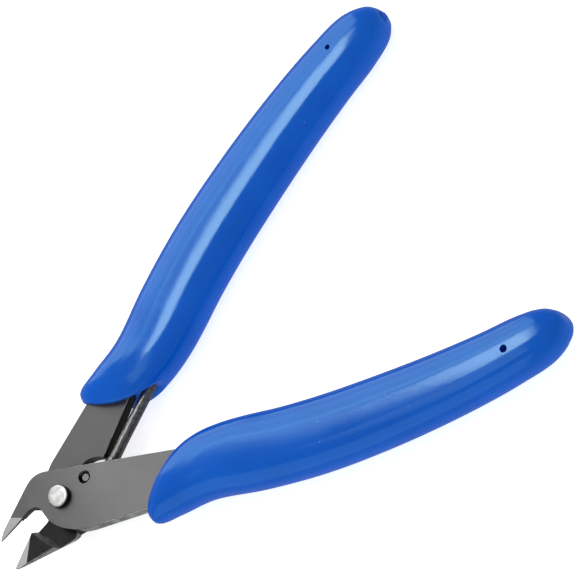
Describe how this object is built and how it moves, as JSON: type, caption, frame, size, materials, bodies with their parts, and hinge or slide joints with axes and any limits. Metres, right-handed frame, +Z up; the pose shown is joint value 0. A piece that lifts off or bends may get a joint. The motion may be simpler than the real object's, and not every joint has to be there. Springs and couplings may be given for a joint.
{
  "type": "flush cutter",
  "caption": "Spring-loaded flush cutter: two blackened steel halves crossed at a rivet, ground jaws, wire return spring and moulded vinyl grips.",
  "frame": {"origin": "under the middle of the tool's box, on the plane it lies on, with the tool lying flat and at rest, open", "axes": "+X along the line that halves the angle between the handles, from the jaws to the grips' tails; +Z up, along the rivet, towards the front half's outer face; +Y towards the rear half's handle"},
  "size_m": [0.1154, 0.0826, 0.0122],
  "materials": {
    "blackened_steel": "satin, chemically blackened, with the jaws ground bright",
    "rivet_steel": "bright turned end, faintly mottled",
    "spring_wire": "glossy black drawn wire",
    "blue_vinyl": "glossy injection-moulded vinyl, royal blue"
  },
  "bodies": {
    "front_half": {"front_blade": "blackened_steel", "front_grip": "blue_vinyl", "rivet": "rivet_steel"},
    "rear_half": {"rear_blade": "blackened_steel", "rear_grip": "blue_vinyl", "return_spring": "spring_wire"}
  },
  "joints": [
    {"name": "jaw_close", "type": "hinge", "parent": "front_half", "child": "rear_half", "pos_m": [-0.04229, 0.00036, 0.00609], "axis": [0, 0, -1], "range_deg": [0, 21.7], "stiffness_Nm_per_rad": 0.8, "springref_deg": -3.44, "deforming": ["return_spring"]}
  ]
}
